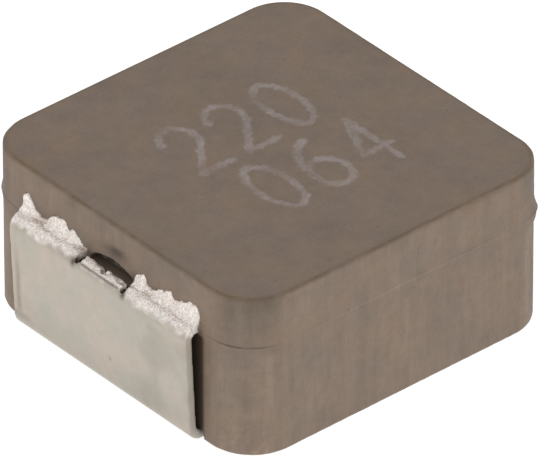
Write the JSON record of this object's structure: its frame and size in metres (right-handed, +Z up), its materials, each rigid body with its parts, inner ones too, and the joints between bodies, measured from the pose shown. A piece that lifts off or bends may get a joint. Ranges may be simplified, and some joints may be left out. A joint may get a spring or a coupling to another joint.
{
  "type": "moulded surface-mount power inductor",
  "caption": "Square moulded power inductor: a pressed magnetic block with wide tinned terminals folded down its sides and under it.",
  "frame": {"origin": "middle of the footprint, on the board under the feet", "axes": "+X from the start terminal to the end terminal, +Y across the terminals, +Z up from the board"},
  "size_m": [0.0072, 0.0066, 0.003],
  "materials": {
    "pressed_powder": "matte",
    "tinned_sheet": "satin",
    "enamelled_copper": "gloss"
  },
  "bodies": {
    "root": {"body": "pressed_powder", "winding": "enamelled_copper", "terminal_start": "tinned_sheet", "terminal_end": "tinned_sheet"}
  },
  "joints": []
}
